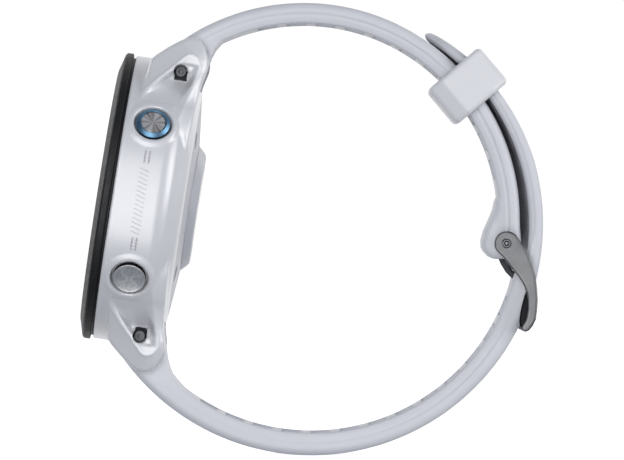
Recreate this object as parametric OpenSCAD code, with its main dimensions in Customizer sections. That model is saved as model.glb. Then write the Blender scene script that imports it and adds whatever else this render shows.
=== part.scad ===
// GPS running watch on its closed strap: round sealed case, five side buttons,
// two silicone straps, loop keeper, pin buckle, and the internals.
// +Z is up as it stands on the strap, the display faces -X, Y runs along the lug pins.

/* [Case] */
// Bezel outer radius, mm
bezel_r = 23.25; // [20:0.05:24]
// Case body outer radius, mm
case_r = 23; // [20:0.05:24]
// Height of the straight case wall from the bezel seam, mm
wall_h = 8.4; // [6:0.1:10]
// Bezel height above the seam, mm
bezel_h = 2.5; // [1.5:0.1:4]
// Inner cavity radius, mm
cavity_r = 21; // [18:0.1:21.5]
// Backward lean of the dial from vertical, degrees
lean = 8.85; // [0:0.05:20]

/* [Buttons] */
// Button cap radius, mm
btn_r = 2.75; // [2:0.05:3.2]
// Depth of the button axes behind the bezel seam, mm
btn_u = 4.6; // [3:0.1:6]
// Angle between a side button and the middle of its side, degrees
btn_a = 33; // [20:1:45]
// Radial clearance of a button stem in its bore, mm
btn_fit = 0.05; // [0.01:0.01:0.1]

/* [Strap] */
// Strap width, mm
strap_w = 22; // [18:0.5:24]
// Outer radius of the long strap, mm
long_ro = 37.1; // [34:0.1:40]
// Inner radius of the long strap, mm
long_ri = 33.5; // [30:0.1:36]
// Outer radius of the buckle-side strap, mm
short_ro = 34.6; // [32:0.1:37]
// Inner radius of the buckle-side strap, mm
short_ri = 31.3; // [29:0.1:34]
// Inner radius of the thin tail of the long strap, mm
tail_ri = 34.8; // [34:0.1:36]
// Pitch of the grip pockets on the strap's inner face, mm
pocket_pitch = 4.7; // [3:0.1:7]
// Length of a grip pocket along the strap, mm
pocket_l = 3.1; // [1:0.1:4]
// Depth of the grip pockets, mm
pocket_d = 0.7; // [0.2:0.05:1]
// Width left closed at each side of the grip pockets, mm
pocket_rim = 1.6; // [0.8:0.1:3]
// Half length of an adjustment hole along the strap, mm
hole_l = 1.9; // [1.2:0.1:2.4]
// Half width of an adjustment hole, mm
hole_w = 1.2; // [0.8:0.1:1.6]

/* [Keeper and buckle] */
// Keeper length along the strap, mm
keeper_l = 7.3; // [4:0.1:10]
// Keeper width, mm
keeper_w = 26; // [24:0.5:30]
// Buckle frame width across the arms, mm
buckle_w = 26.6; // [25:0.2:30]
// Buckle pin radius, mm
pin_r = 0.6; // [0.5:0.05:1]

/* [Hidden] */
e = 0.01;
org = [-31.64, 41.46];      // bezel seam centre in X, Z
cl = [0, 37.1];             // centre of the long strap's arc
cu = [-1.24, 37.88];        // centre of the buckle-side strap's arc
cm = (cl + cu) / 2;         // centre of the keeper's path
pin_c = [31.2, 33.95];      // buckle pin centre
lug_u = 7.57;               // lug pin depth behind the seam
lug_w = 21.4;               // lug pin distance from the dial centre
hw = strap_w / 2;
bar_c = pol(cl, 38.05, -24.6);
hole_step = pocket_pitch / 35.3 * 180 / PI;
btn_dirs = [-90 - btn_a, -90 + btn_a, 90 + btn_a, 90, 90 - btn_a];

// a point at radius r and angle a about c
function pol(c, r, a) = [c[0] + r * cos(a), c[1] + r * sin(a)];
// an arc of n steps
function arc(c, r, a0, a1, n) = [for (i = [0:n]) pol(c, r, a0 + (a1 - a0) * i / n)];
// an arc whose radius changes evenly
function spiral(c, r0, r1, a0, a1, n) = [for (i = [0:n]) pol(c, r0 + (r1 - r0) * i / n, a0 + (a1 - a0) * i / n)];
// a case point (depth u, distance w towards 6 o'clock) in X, Z
function loc(u, w) = [org[0] + u * cos(lean) - w * sin(lean), org[1] - u * sin(lean) - w * cos(lean)];
// angular width of a length at a radius
function ang(l, r) = l / r * 180 / PI;

// draws the children's X, Z outline from y0 to y1
module xz(y0, y1) translate([0, y1, 0]) rotate([90, 0, 0]) linear_extrude(height = y1 - y0) children();
// case frame: x towards 6 o'clock, z towards the wrist, 0 at the bezel seam
module dial() translate([org[0], 0, org[1]]) rotate([0, 90 + lean, 0]) children();
// button frame: z points out of the case, 0 at the dial's axis
module btn(a) dial() rotate([0, 0, a]) translate([0, 0, btn_u]) rotate([0, 90, 0]) children();
// strap frame at angle a about c: x outward, y along the pin, z along the strap
module at(c, a) translate([c[0], 0, c[1]]) rotate([0, -a, 0]) children();
module ring(ro, ri, h) difference() {
    cylinder(h = h, r = ro, $fn = 96);
    translate([0, 0, -1]) cylinder(h = h + 2, r = ri, $fn = 96);
}

// ---------- case ----------
module lug_plan(s) linear_extrude(height = 14)
    polygon([[10, s * 11.15], [10, s * 19], [15.5, s * 17], [20, s * 14.6], [27.4, s * 13.4], [27.4, s * 11.15]]);
module lug_side() xz(-20, 20) polygon([[9, 0.8], [22.6, 2.5], [23.4, 3.3], [26.2, 6.7], [26.75, 7.5], [27, 8.4], [27.05, 9.2],
    [26.7, 10.1], [25.7, 10.9], [24.5, 11.4], [23.3, 11.75], [22.1, 11.75], [20.6, 11.35], [19.6, 11.1], [9, 10.5]]);
module scoop(s) intersection() {
    xz(-25, 25) polygon([[15, 1.2], [19.4, 4.8], [21.4, 6.6], [23.5, 8.4], [23.8, 9.1], [23.1, 10], [22.2, 10.4], [18.6, 9.2], [14.2, 7.8]]);
    linear_extrude(height = 14) polygon([[12, s * 19.9], [16, s * 16.3], [19.4, s * 13.3], [21.4, s * 12.7], [22.6, s * 12.9], [25, s * 13.8], [25, s * 25], [12, s * 25]]);
}
module case_shell() difference() {
    union() {
        dial() rotate_extrude($fn = 160) polygon([[19.3, 0], [22.75, 0], [case_r, 0.25], [case_r, wall_h], [22.7, 8.95],
            [19.3, 11.15], [18.6, 11.36], [17.7, 11.42], [14, 11.4], [14, 7], [19.3, 7]]);
        dial() for (m = [0, 1]) mirror([m, 0, 0]) for (s = [-1, 1]) intersection() { lug_side(); lug_plan(s); }
        for (a = btn_dirs) btn(a) translate([0, 0, 18.5]) cylinder(h = 4.55, r = 3.95, $fn = 64);
    }
    // cavity, kept clear of the strap pockets
    dial() intersection() {
        translate([0, 0, -1]) rotate_extrude($fn = 128) polygon([[0, 0], [cavity_r, 0], [cavity_r, 8.3], [15.9, 10.2], [15.9, 13], [0, 13]]);
        union() {
            translate([-17.2, -30, 2.9]) cube([34.4, 60, 12]);
            translate([-30, -30, -2]) cube([60, 60, 4.9]);
        }
    }
    // seat of the back cover
    dial() translate([0, 0, 10.2]) cylinder(h = 4, r = 17.7, $fn = 128);
    // strap pockets between the lugs
    dial() for (m = [0, 1]) mirror([m, 0, 0]) translate([18.8, -11.15, 3.9]) cube([12, 22.3, 12]);
    // lug pin bores and the scoops around them
    dial() for (m = [0, 1]) mirror([m, 0, 0]) {
        translate([lug_w, 0, lug_u]) rotate([90, 0, 0]) {
            translate([0, 0, -16]) cylinder(h = 32, r = 0.82, $fn = 48);
            translate([0, 0, 11.9]) cylinder(h = 6, r = 1.12, $fn = 48);
            translate([0, 0, -17.9]) cylinder(h = 6, r = 1.12, $fn = 48);
        }
        for (s = [-1, 1]) scoop(s);
    }
    // button counterbores, stem bores and seal grooves
    for (a = btn_dirs) btn(a) {
        translate([0, 0, 21.75]) cylinder(h = 3, r = btn_r + 0.15, $fn = 64);
        translate([0, 0, 22.2]) cylinder(h = 1, r1 = btn_r + 0.15, r2 = btn_r + 0.85, $fn = 64);
        translate([0, 0, 15]) cylinder(h = 9, r = 0.9 + btn_fit, $fn = 48);
        translate([0, 0, 17.4]) cylinder(h = 3.2, r = 3.2, $fn = 64);
        translate([0, 0, 20.9]) cylinder(h = 0.55, r = 1.45, $fn = 48);
    }
}
module case_ledge() dial() difference() {
    union() {
        translate([0, 0, 9.25]) ring(17.0, 15.9, 0.95);
        for (i = [0:3]) rotate([0, 0, 45 + 90 * i]) translate([15.2, 0, 8.5]) cylinder(h = 1.7, r = 1.7, $fn = 48);
    }
    for (i = [0:3]) rotate([0, 0, 45 + 90 * i]) translate([15.2, 0, 8]) cylinder(h = 3, r = 0.6, $fn = 32);
}
module case_body() color("white") union() {
    case_shell();
    case_ledge();
}
module bezel() color([0.05, 0.05, 0.06]) dial() rotate_extrude($fn = 160)
    polygon([[18.1, 0], [22.6, 0], [22.6, -0.5], [bezel_r, -0.6], [bezel_r, -1.5], [22.95, -1.75], [20.9, -2.3], [20.2, -bezel_h],
        [19.6, -bezel_h], [19.6, -1.2], [18.1, -1.2]]);
module display_lens() color([0.2, 0.22, 0.25, 0.6]) dial() translate([0, 0, -2.45]) cylinder(h = 1.1, r = 19.5, $fn = 128);
module lens_gasket() color([0.1, 0.1, 0.1]) dial() translate([0, 0, -1.35]) ring(19.4, 18.2, 0.15);
module display_panel() color([0.1, 0.12, 0.12]) dial() translate([0, 0, -1.3]) union() {
    cylinder(h = 1.5, r = 17.6, $fn = 128);
    translate([-3, 16, 0.9]) cube([6, 1.85, 0.5]);
}
module display_frame() color([0.25, 0.25, 0.27]) dial() translate([0, 0, 0.25]) difference() {
    cylinder(h = 1.1, r = 20.4, $fn = 96);
    translate([0, 0, 0.5]) cylinder(h = 2, r = 18.6, $fn = 96);
    translate([-3.5, 14.5, -1]) cube([7, 8, 3]);
}
module main_board() color([0.05, 0.3, 0.15]) dial() translate([0, 0, 1.5]) difference() {
    cylinder(h = 0.8, r = 19.4, $fn = 96);
    for (s = [-1, 1]) translate([s * 18.2, 0, -1]) cylinder(h = 3, r = 1.6, $fn = 32);
    for (s = [-1, 1]) translate([0, s * 18.2, -1]) cylinder(h = 3, r = 0.8, $fn = 32);
}
module board_chips() color([0.6, 0.6, 0.62]) dial() translate([0, 0, 2.3]) {
    translate([-12, -8, 0]) cube([9, 9, 1.1]);
    translate([-1, -7.5, 0]) cube([7, 6, 0.9]);
    translate([-2, 2, 0]) cube([10, 8, 1.2]);
    translate([-12, 4, 0]) cube([6, 5, 0.8]);
}
module gps_antenna() color([0.8, 0.65, 0.35]) dial() translate([0, 0, 1.5]) rotate([0, 0, 125])
    rotate_extrude(angle = 110, $fn = 96) polygon([[20.1, 0], [20.6, 0], [20.6, 1.2], [20.1, 1.2]]);
module battery() color([0.75, 0.75, 0.78]) dial() translate([-15, -10.2, 4]) difference() {
    cube([22, 20.4, 4]);
    for (s = [0, 1]) translate([-1, s * 20.4 - 1, 3]) cube([24, 2, 2]);
}
module motor_can() color([0.7, 0.7, 0.72]) dial() translate([12, -5.2, 4]) difference() {
    cylinder(h = 3, r = 4.1, $fn = 64);
    translate([0, 0, 0.35]) cylinder(h = 2.3, r = 3.75, $fn = 64);
}
module motor_shaft() color([0.85, 0.85, 0.87]) dial() translate([12, -5.2, 4.35]) cylinder(h = 2.3, r = 0.4, $fn = 32);
module motor_rotor() color([0.55, 0.5, 0.45]) dial() translate([12, -5.2, 4.7]) difference() {
    union() {
        cylinder(h = 1.6, r = 1.2, $fn = 48);
        rotate([0, 0, 100]) rotate_extrude(angle = 160, $fn = 64) square([3.4, 1.6]);
    }
    translate([0, 0, -1]) cylinder(h = 4, r = 0.45, $fn = 32);
}
module buzzer() color([0.8, 0.7, 0.4]) dial() translate([12, 4.6, 4]) union() {
    cylinder(h = 0.4, r = 4.3, $fn = 64);
    translate([0, 0, 0.4]) cylinder(h = 0.3, r = 3.2, $fn = 64);
}

// ---------- back ----------
module back_cover() color([0.85, 0.85, 0.86]) dial() difference() {
    rotate_extrude($fn = 128) polygon([[9.2, 10.2], [17.6, 10.2], [17.6, 11.42], [10.5, 12.15], [10.2, 12.15], [10.2, 11], [9.2, 11]]);
    for (i = [0:3]) rotate([0, 0, 45 + 90 * i]) translate([15.2, 0, 0]) {
        translate([0, 0, 9]) cylinder(h = 5, r = 0.75, $fn = 32);
        translate([0, 0, 11]) cylinder(h = 5, r = 1.35, $fn = 48);
    }
    translate([-4.2, 12.2, 11.3]) cube([8.4, 3.2, 3]);
    for (i = [0:3]) translate([-3 + 2 * i, 13.8, 9]) cylinder(h = 4, r = 0.5, $fn = 32);
    translate([0, 0, 9.7]) ring(16.9, 16.1, 0.9);
}
module back_seal() color([0.15, 0.15, 0.16]) dial() translate([0, 0, 10.2]) ring(16.85, 16.15, 0.38);
module back_screws() color([0.6, 0.6, 0.62]) dial() for (i = [0:3]) rotate([0, 0, 45 + 90 * i]) translate([15.2, 0, 0]) difference() {
    union() {
        translate([0, 0, 8.7]) cylinder(h = 2.4, r = 0.58, $fn = 32);
        translate([0, 0, 11]) cylinder(h = 0.45, r = 1.25, $fn = 48);
    }
    translate([0, 0, 11.15]) cylinder(h = 1, r = 0.55, $fn = 6);
}
module charge_contacts() color([0.85, 0.7, 0.35]) dial() for (i = [0:3]) translate([-3 + 2 * i, 13.8, 10.3]) cylinder(h = 1.2, r = 0.48, $fn = 32);
module sensor_housing() color([0.82, 0.82, 0.85]) dial() rotate_extrude($fn = 128)
    polygon([[6.25, 12.7], [6.25, 13.5], [8.6, 13.5], [9, 13.3], [10.1, 12.25], [10.15, 12.15], [10.15, 11.05], [8.6, 11.05], [8.6, 12.1], [5.6, 12.3], [5.6, 12.7]]);
module sensor_window() color([0.15, 0.15, 0.2, 0.7]) dial() translate([0, 0, 12.7]) cylinder(h = 0.8, r = 6.2, $fn = 96);
module sensor_board() color([0.05, 0.3, 0.15]) dial() translate([0, 0, 11.05]) cylinder(h = 0.5, r = 8.5, $fn = 96);
module sensor_leds() color([0.3, 0.8, 0.4]) dial() translate([0, 0, 11.55]) {
    for (i = [0:1]) rotate([0, 0, 180 * i]) translate([-0.9, 1.8, 0]) cube([1.8, 1.4, 0.6]);
    for (i = [0:1]) rotate([0, 0, 90 + 180 * i]) translate([-1, 1.8, 0]) cube([2, 2, 0.5]);
    translate([-0.7, -0.7, 0]) cube([1.4, 1.4, 0.5]);
}

// ---------- buttons ----------
module stem(z0) union() {
    translate([0, 0, 18.85]) cylinder(h = 3.5, r = 0.9, $fn = 48);
    translate([0, 0, z0]) cylinder(h = 19 - z0, r = 0.6, $fn = 32);
}
module stem_cut() translate([0, 0, 20.2]) ring(2, 0.65, 0.35);
module button(a, top) btn(a) difference() {
    union() {
        stem(18.05);
        translate([0, 0, 22.2]) cylinder(h = top - 22.2 - 0.15, r = btn_r - 0.15, $fn = 64);
        translate([0, 0, top - 0.15 - e]) cylinder(h = 0.15 + e, r1 = btn_r - 0.15, r2 = btn_r - 0.3, $fn = 64);
    }
    stem_cut();
    translate([0, 0, top - 0.1]) cylinder(h = 1, r = 2.25, $fn = 64);
}
module clip(a) btn(a) translate([0, 0, 20.22]) difference() {
    cylinder(h = 0.3, r = 1.5, $fn = 48);
    translate([0, 0, -1]) cylinder(h = 3, r = 0.66, $fn = 32);
    translate([0, -0.5, -1]) cube([3, 1, 3]);
}
module start_button() color([0.72, 0.73, 0.75]) btn(btn_dirs[0]) difference() {
    union() {
        stem(18.05);
        translate([0, 0, 22.2]) cylinder(h = 0.85, r = 2.0, $fn = 64);
    }
    stem_cut();
}
module start_ring() color([0.35, 0.5, 0.68]) btn(btn_dirs[0]) translate([0, 0, 22.2]) difference() {
    union() {
        cylinder(h = 1.2, r = btn_r, $fn = 64);
        translate([0, 0, 1.2 - e]) cylinder(h = 0.15, r1 = btn_r, r2 = btn_r - 0.2, $fn = 64);
    }
    translate([0, 0, -1]) cylinder(h = 4, r = 2.02, $fn = 64);
}
module start_clip() color([0.6, 0.6, 0.62]) clip(btn_dirs[0]);
module back_button() color([0.72, 0.73, 0.75]) button(btn_dirs[1], 23.15);
module back_clip() color([0.6, 0.6, 0.62]) clip(btn_dirs[1]);
module light_button() color([0.72, 0.73, 0.75]) button(btn_dirs[2], 23.1);
module light_clip() color([0.6, 0.6, 0.62]) clip(btn_dirs[2]);
module up_button() color([0.72, 0.73, 0.75]) button(btn_dirs[3], 23.1);
module up_clip() color([0.6, 0.6, 0.62]) clip(btn_dirs[3]);
module down_button() color([0.72, 0.73, 0.75]) button(btn_dirs[4], 23.1);
module down_clip() color([0.6, 0.6, 0.62]) clip(btn_dirs[4]);
module button_seals() color([0.2, 0.05, 0.05]) for (a = btn_dirs) btn(a) translate([0, 0, 20.92]) ring(1.43, 0.93, 0.5);
module tact_switches() color([0.15, 0.15, 0.16]) for (a = btn_dirs) btn(a) union() {
    translate([-1.3, -1.6, 16.2]) cube([2.6, 3.2, 1.1]);
    translate([0, 0, 17.3 - e]) cylinder(h = 0.3, r = 0.7, $fn = 32);
}

// ---------- straps ----------
// outline of the buckle-side strap, t thinner on its outer face
module short_outline(t) polygon(concat(
    arc(cu, short_ro - t, 131.5, 0, 64),
    [[33.4 - t, 36.5], [33.6 - t, 34.2], [33.3 - t, 33.2], [32.4, 32.1], [31.2, 31.5], [29.4, 31.45], [28.5, 31.85], [27.75, 32.6],
        [27.35, 33.4], [27.35, 34.5], [27.75, 36], [28.55, 37.75], [29.2, 39.35], [29.6, 41]],
    arc(cu, short_ri, 6.5, 115, 56),
    [[-15.4, 65.2], [-16, 64.1], [-16.6, 62.7], [-17.2, 60.9], [-17.75, 59.4], loc(10.9, -18.95), loc(4.1, -18.95), loc(4.1, -23 + t / 2)]));
module strap_upper() color([0.93, 0.93, 0.96]) difference() {
    union() {
        xz(-hw, hw) short_outline(0.5);
        xz(-hw + 0.6, hw - 0.6) short_outline(0);
    }
    // bores for the lug pin and the buckle pin
    dial() translate([-lug_w, 20, lug_u]) rotate([90, 0, 0]) cylinder(h = 40, r = 0.82, $fn = 48);
    translate([pin_c[0], 20, pin_c[1]]) rotate([90, 0, 0]) cylinder(h = 40, r = pin_r + 0.02, $fn = 48);
    // slot for the tongue
    translate([20, -1.25, 30]) cube([20, 2.5, 6.4]);
    // grip pockets
    for (i = [0:10]) at(cu, 14.7 + i * ang(pocket_pitch, short_ri)) translate([short_ri - 2, pocket_rim - hw, -pocket_l / 2]) cube([2 + pocket_d, strap_w - 2 * pocket_rim, pocket_l]);
}
// outline of the long strap, t thinner on its outer face
module long_outline(t) polygon(concat(
    arc(cl, long_ro - t, 212.3, 375, 80), spiral(cl, long_ro - t, 36.5 - t, 377, 416, 18),
    [pol(cl, 36.2 - t / 2, 418.3), pol(cl, 35.7, 419.2), pol(cl, 35.3, 419), pol(cl, tail_ri + 0.1, 418)],
    arc(cl, tail_ri, 416, 353, 30),
    arc(cl, long_ri, 345, 232, 56),
    [[-21.9, 12.2], [-22.5, 13], [-22.95, 14.2], [-23.25, 15.4], [-23.45, 17], [-23.6, 18.4], loc(10.9, 18.95), loc(4.1, 18.95), loc(4.1, 23 - t / 2)]));
module strap_lower() color([0.93, 0.93, 0.96]) difference() {
    intersection() {
        union() {
            xz(-hw, hw) long_outline(0.5);
            xz(-hw + 0.6, hw - 0.6) long_outline(0);
        }
        // rounded tip
        union() {
            at(cl, 41.4) translate([30, 0, 0]) rotate([0, 90, 0]) cylinder(h = 10, r = hw, $fn = 96);
            at(cl, 41.4) translate([-60, -20, -60]) cube([120, 40, 60]);
            translate([-60, -20, -5]) cube([60, 40, 60]);
        }
    }
    dial() translate([lug_w, 20, lug_u]) rotate([90, 0, 0]) cylinder(h = 40, r = 0.82, $fn = 48);
    // adjustment holes
    for (i = [-5:8]) at(cl, -15.4 + i * hole_step) translate([30, 0, 0]) rotate([0, 90, 0]) linear_extrude(height = 10) union() {
        translate([hole_w - hole_l, 0]) circle(r = hole_w, $fn = 32);
        translate([hole_l - hole_w, 0]) circle(r = hole_w, $fn = 32);
        translate([hole_w - hole_l, -hole_w]) square([2 * (hole_l - hole_w), 2 * hole_w]);
    }
    // grip pockets
    for (i = [0:12]) at(cl, 240.3 + i * ang(pocket_pitch, long_ri)) translate([long_ri - 2, pocket_rim - hw, -pocket_l / 2]) cube([2 + pocket_d, strap_w - 2 * pocket_rim, pocket_l]);
}
module keeper() color([0.93, 0.93, 0.96]) at(cm, 40.2) intersection() {
    difference() {
        translate([28.2, -keeper_w / 2, -keeper_l / 2]) cube([10.8, keeper_w, keeper_l]);
        translate([30.45, -11.4, -10]) cube([7.3, 22.8, 20]);
    }
    // rounded corners
    translate([33.6, 0, -10]) linear_extrude(height = 20) union() {
        square([5.4, keeper_w], center = true);
        square([10.8, keeper_w - 5.4], center = true);
        for (a = [-1, 1]) for (b = [-1, 1]) translate([a * 2.7, b * (keeper_w / 2 - 2.7)]) circle(r = 2.7, $fn = 48);
    }
}

// ---------- buckle ----------
module arm_outline() difference() {
    union() {
        translate(pin_c) circle(r = 1.95, $fn = 64);
        polygon([[29.5, 33.3], [30.56, 31.83], [31.36, 30.87], [32.16, 29.76], [33.1, 28.64], [33.9, 27.36], [34.4, 26.1], [34.55, 25],
            [34.55, 23.4], [34.25, 21.8], [33.75, 20.55], [34.1, 20], [34.7, 20.1], [35.35, 20.8], [35.85, 21.8], [36.05, 23.4],
            [36.15, 25], [36.05, 26.6], [35.85, 28.6], [35.35, 30.2], [34.85, 31.7], [34.05, 33.3], [33.2, 34.4], [32.5, 35.3]]);
    }
    translate(pin_c) circle(r = pin_r + 0.05, $fn = 48);
}
module buckle_frame() color([0.6, 0.61, 0.63]) difference() {
    union() {
        for (s = [-1, 1]) xz(s > 0 ? 11.3 : -buckle_w / 2, s > 0 ? buckle_w / 2 : -11.3) arm_outline();
        // lip along the inner edge of each arm
        for (s = [-1, 1]) xz(s > 0 ? 11.3 : -12.6, s > 0 ? 12.6 : -11.3) polygon([[34.6, 27.2], [34.05, 25.6], [33.65, 24.2], [33.35, 22.8],
            [33.2, 21.5], [33.3, 20.7], [33.7, 20.2], [34.3, 20.2], [34.9, 22], [35, 25]]);
        translate([bar_c[0], 12, bar_c[1]]) rotate([90, 0, 0]) cylinder(h = 24, r = 0.8, $fn = 48);
    }
    // seat for the tongue's tip
    at(cl, -24.6) translate([38.05, -1.3, -3]) cube([3, 2.6, 6]);
}
module buckle_pin() color([0.8, 0.8, 0.82]) translate([pin_c[0], buckle_w / 2, pin_c[1]]) rotate([90, 0, 0]) cylinder(h = buckle_w, r = pin_r, $fn = 48);
module buckle_tongue() color([0.3, 0.31, 0.33]) difference() {
    union() {
        translate([pin_c[0], 0.9, pin_c[1]]) rotate([90, 0, 0]) cylinder(h = 1.8, r = 1.5, $fn = 48);
        xz(-0.9, 0.9) polygon([[29.75, 34], [29.9, 32], [30.5, 30.6], [31.3, 29.3], pol(cl, 33.6, -15.4), pol(cl, 37.15, -17.6), pol(cl, 37.55, -19),
            pol(cl, 38.1, -22.6), pol(cl, 38.1, -25.8), pol(cl, 38.4, -26), pol(cl, 38.75, -25.5), pol(cl, 38.8, -23.6), pol(cl, 38.5, -21.2),
            pol(cl, 38.1, -18.8), pol(cl, 37.6, -16.8), pol(cl, 36.9, -15.3), pol(cl, 34.2, -13.6), pol(cl, 33.1, -13), [31.95, 31], [31.6, 32.4], [32.2, 33.4]]);
    }
    translate([pin_c[0], 5, pin_c[1]]) rotate([90, 0, 0]) cylinder(h = 10, r = pin_r + 0.05, $fn = 48);
}

// ---------- lug pins ----------
module lug_pin(s) dial() translate([s * lug_w, 0, lug_u]) rotate([90, 0, 0]) difference() {
    translate([0, 0, -11.85]) cylinder(h = 23.7, r = 0.8, $fn = 48);
    translate([0, 0, 9]) cylinder(h = 5, r = 0.45, $fn = 32);
    translate([0, 0, -14]) cylinder(h = 5, r = 0.45, $fn = 32);
}
module lug_pin_upper() color([0.7, 0.7, 0.72]) lug_pin(-1);
module lug_pin_lower() color([0.7, 0.7, 0.72]) lug_pin(1);
module lug_screws() color([0.55, 0.56, 0.58]) dial() for (s = [-1, 1]) for (m = [0, 1]) translate([s * lug_w, 0, lug_u]) rotate([90 + 180 * m, 0, 0]) difference() {
    union() {
        translate([0, 0, 9.4]) cylinder(h = 2.7, r = 0.44, $fn = 32);
        translate([0, 0, 11.95]) cylinder(h = 0.5, r = 0.9, $fn = 48);
    }
    translate([0, 0, 12.2]) cylinder(h = 1, r = 0.42, $fn = 6);
}

case_body();
bezel();
display_lens();
lens_gasket();
display_panel();
display_frame();
main_board();
board_chips();
gps_antenna();
battery();
motor_can();
motor_shaft();
motor_rotor();
buzzer();
back_cover();
back_seal();
back_screws();
charge_contacts();
sensor_housing();
sensor_window();
sensor_board();
sensor_leds();
start_button();
start_ring();
start_clip();
back_button();
back_clip();
light_button();
light_clip();
up_button();
up_clip();
down_button();
down_clip();
button_seals();
tact_switches();
strap_upper();
strap_lower();
keeper();
buckle_frame();
buckle_pin();
buckle_tongue();
lug_pin_upper();
lug_pin_lower();
lug_screws();
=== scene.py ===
import math

import bpy
import numpy as np
from mathutils import Matrix, Vector


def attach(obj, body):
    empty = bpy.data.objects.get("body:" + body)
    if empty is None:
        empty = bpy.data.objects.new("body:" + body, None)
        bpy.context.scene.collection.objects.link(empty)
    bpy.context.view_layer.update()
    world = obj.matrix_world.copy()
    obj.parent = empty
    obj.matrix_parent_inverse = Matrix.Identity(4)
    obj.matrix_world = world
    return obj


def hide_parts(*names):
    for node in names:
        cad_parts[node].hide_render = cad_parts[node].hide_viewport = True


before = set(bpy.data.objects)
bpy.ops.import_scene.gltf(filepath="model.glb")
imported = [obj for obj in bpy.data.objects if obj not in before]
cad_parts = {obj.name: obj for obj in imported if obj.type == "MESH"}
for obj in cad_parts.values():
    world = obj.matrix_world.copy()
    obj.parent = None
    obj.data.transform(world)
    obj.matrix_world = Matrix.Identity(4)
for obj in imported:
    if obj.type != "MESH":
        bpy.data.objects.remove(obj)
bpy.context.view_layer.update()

MM = 0.001

# ---------------------------------------------------------------- layout, in mm, as in the CAD
LEAN = math.radians(8.85)
CT, ST = math.cos(LEAN), math.sin(LEAN)
ORG = (-31.64, 41.46)
CL = (0.0, 37.1)
CU = (-1.24, 37.88)
CM = ((CL[0] + CU[0]) / 2, (CL[1] + CU[1]) / 2)
PIN = (31.2, 33.95)
LUG_U, LUG_W = 7.57, 21.4
BTN_U = 4.6
BTN = {"start": -123.0, "back": -57.0, "light": 123.0, "up": 90.0, "down": 57.0}

# case frame (w towards 6 o'clock, y, u towards the wrist) to the row frame
DIAL = Matrix(((-ST, 0, CT, ORG[0]), (0, 1, 0, 0), (-CT, 0, -ST, ORG[1]), (0, 0, 0, 1)))


def btn_matrix(a):
    """The button frame: z points out of the case, x towards the wrist side."""
    c, s = math.cos(math.radians(a)), math.sin(math.radians(a))
    m = Matrix(((0, -s, c, 0), (0, c, s, 0), (-1, 0, 0, BTN_U), (0, 0, 0, 1)))
    return DIAL @ m


def loc(u, w):
    return (ORG[0] + u * CT - w * ST, ORG[1] - u * ST - w * CT)


def pol(c, r, a):
    a = math.radians(a)
    return (c[0] + r * math.cos(a), c[1] + r * math.sin(a))


def arc(c, r0, a0, a1, n, r1=None):
    r1 = r0 if r1 is None else r1
    return [pol(c, r0 + (r1 - r0) * i / n, a0 + (a1 - a0) * i / n) for i in range(n + 1)]


# ---------------------------------------------------------------- fields
def rmax(a, b, r):
    return np.minimum(-r, np.maximum(a, b)) + np.hypot(np.maximum(r + a, 0), np.maximum(r + b, 0))


def rmin(a, b, r):
    return -rmax(-a, -b, r)


def cut(a, b, r):
    return rmax(a, -b, r)


def step01(t):
    t = np.clip(t, 0, 1)
    return t * t * (3 - 2 * t)


def poly(points, x, y):
    """Signed distance to a closed outline, negative inside."""
    x, y = np.broadcast_arrays(x, y)
    x = x.astype(np.float64)
    y = y.astype(np.float64)
    d = np.full(x.shape, 1e18)
    inside = np.zeros(x.shape, bool)
    n = len(points)
    for i in range(n):
        ax, ay = points[i]
        bx, by = points[i - 1]
        ex, ey = bx - ax, by - ay
        l2 = ex * ex + ey * ey
        if l2 < 1e-12:
            continue
        wx, wy = x - ax, y - ay
        t = np.clip((wx * ex + wy * ey) / l2, 0, 1)
        d = np.minimum(d, (wx - ex * t) ** 2 + (wy - ey * t) ** 2)
        c = (ay > y) != (by > y)
        if ey != 0:
            inside ^= c & (x < ex * (y - ay) / ey + ax)
    d = np.sqrt(d)
    return np.where(inside, -d, d)


CORNERS = [(i, j, k) for i in (0, 1) for j in (0, 1) for k in (0, 1)]
EDGES = [(a, b) for a in range(8) for b in range(a + 1, 8)
         if sum(abs(CORNERS[a][q] - CORNERS[b][q]) for q in range(3)) == 1]


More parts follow.
